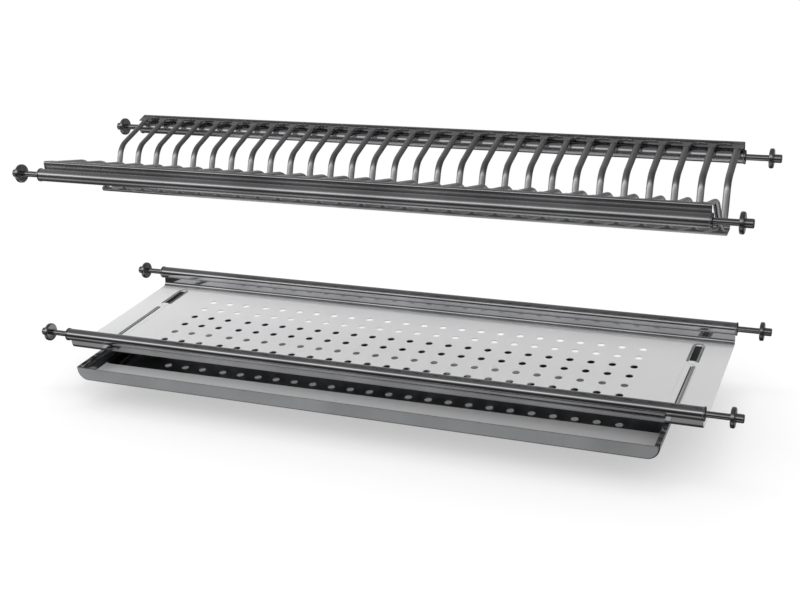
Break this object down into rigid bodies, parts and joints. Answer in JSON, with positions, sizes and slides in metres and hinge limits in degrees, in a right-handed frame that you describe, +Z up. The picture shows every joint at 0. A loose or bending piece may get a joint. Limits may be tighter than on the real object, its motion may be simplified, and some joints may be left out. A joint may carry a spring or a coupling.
{
  "type": "cabinet dish rack",
  "caption": "Stainless dish rack for inside a wall cabinet: a ribbed plate rack above a perforated cup tray with a pull-out drip tray, each held by sprung end pins.",
  "frame": {"origin": "Centre of the lower back left pin, where its flange meets the cabinet's side panel", "axes": "+X to the right along the racks, +Y to the back of the cabinet, +Z up"},
  "size_m": [0.881, 0.2783, 0.2673],
  "materials": {
    "rack_sheet": "polished stainless sheet",
    "tray_sheet": "mirror polished stainless sheet",
    "drip_sheet": "mirror polished stainless sheet",
    "runner_sheet": "polished stainless sheet",
    "pin_steel": "bright plated steel, slightly worn",
    "bush_steel": "bright plated steel",
    "spring_wire": "drawn spring wire",
    "stop_plastic": "moulded plastic"
  },
  "bodies": {
    "racks": {"upper_front_rail": "rack_sheet", "upper_front_ribs": "rack_sheet", "upper_channel": "rack_sheet", "upper_back_ribs": "rack_sheet", "upper_back_rail": "rack_sheet", "lower_tray_sheet": "tray_sheet", "left_tray_runner": "runner_sheet", "right_tray_runner": "runner_sheet", "upper_front_left_bush": "bush_steel", "upper_front_left_spring": "spring_wire", "upper_front_left_spring_stop": "stop_plastic", "upper_front_right_bush": "bush_steel", "upper_front_right_spring": "spring_wire", "upper_front_right_spring_stop": "stop_plastic", "upper_back_left_bush": "bush_steel", "upper_back_left_spring": "spring_wire", "upper_back_left_spring_stop": "stop_plastic", "upper_back_right_bush": "bush_steel", "upper_back_right_spring": "spring_wire", "upper_back_right_spring_stop": "stop_plastic", "lower_front_left_bush": "bush_steel", "lower_front_left_spring": "spring_wire", "lower_front_left_spring_stop": "stop_plastic", "lower_front_right_bush": "bush_steel", "lower_front_right_spring": "spring_wire", "lower_front_right_spring_stop": "stop_plastic", "lower_back_left_bush": "bush_steel", "lower_back_left_spring": "spring_wire", "lower_back_left_spring_stop": "stop_plastic", "lower_back_right_bush": "bush_steel", "lower_back_right_spring": "spring_wire", "lower_back_right_spring_stop": "stop_plastic"},
    "upper_front_left_sprung_pin": {"upper_front_left_pin": "pin_steel"},
    "upper_front_right_sprung_pin": {"upper_front_right_pin": "pin_steel"},
    "upper_back_left_sprung_pin": {"upper_back_left_pin": "pin_steel"},
    "upper_back_right_sprung_pin": {"upper_back_right_pin": "pin_steel"},
    "lower_front_left_sprung_pin": {"lower_front_left_pin": "pin_steel"},
    "lower_front_right_sprung_pin": {"lower_front_right_pin": "pin_steel"},
    "lower_back_left_sprung_pin": {"lower_back_left_pin": "pin_steel"},
    "lower_back_right_sprung_pin": {"lower_back_right_pin": "pin_steel"},
    "drip_tray_slider": {"drip_tray": "drip_sheet"}
  },
  "joints": [
    {"name": "upper_front_left_pin_slide", "type": "slide", "parent": "racks", "child": "upper_front_left_sprung_pin", "axis": [1, 0, 0], "range_m": [0, 0.02], "stiffness_N_per_m": 600, "springref_m": -0.01, "deforming": ["upper_front_left_spring"]},
    {"name": "upper_front_right_pin_slide", "type": "slide", "parent": "racks", "child": "upper_front_right_sprung_pin", "axis": [-1, 0, 0], "range_m": [0, 0.02], "stiffness_N_per_m": 600, "springref_m": -0.01, "deforming": ["upper_front_right_spring"]},
    {"name": "upper_back_left_pin_slide", "type": "slide", "parent": "racks", "child": "upper_back_left_sprung_pin", "axis": [1, 0, 0], "range_m": [0, 0.02], "stiffness_N_per_m": 600, "springref_m": -0.01, "deforming": ["upper_back_left_spring"]},
    {"name": "upper_back_right_pin_slide", "type": "slide", "parent": "racks", "child": "upper_back_right_sprung_pin", "axis": [-1, 0, 0], "range_m": [0, 0.02], "stiffness_N_per_m": 600, "springref_m": -0.01, "deforming": ["upper_back_right_spring"]},
    {"name": "lower_front_left_pin_slide", "type": "slide", "parent": "racks", "child": "lower_front_left_sprung_pin", "axis": [1, 0, 0], "range_m": [0, 0.02], "stiffness_N_per_m": 600, "springref_m": -0.01, "deforming": ["lower_front_left_spring"]},
    {"name": "lower_front_right_pin_slide", "type": "slide", "parent": "racks", "child": "lower_front_right_sprung_pin", "axis": [-1, 0, 0], "range_m": [0, 0.02], "stiffness_N_per_m": 600, "springref_m": -0.01, "deforming": ["lower_front_right_spring"]},
    {"name": "lower_back_left_pin_slide", "type": "slide", "parent": "racks", "child": "lower_back_left_sprung_pin", "axis": [1, 0, 0], "range_m": [0, 0.02], "stiffness_N_per_m": 600, "springref_m": -0.01, "deforming": ["lower_back_left_spring"]},
    {"name": "lower_back_right_pin_slide", "type": "slide", "parent": "racks", "child": "lower_back_right_sprung_pin", "axis": [-1, 0, 0], "range_m": [0, 0.02], "stiffness_N_per_m": 600, "springref_m": -0.01, "deforming": ["lower_back_right_spring"]},
    {"name": "drip_tray_slide", "type": "slide", "parent": "racks", "child": "drip_tray_slider", "axis": [0, -1, 0], "range_m": [-0.045, 0.09]}
  ]
}
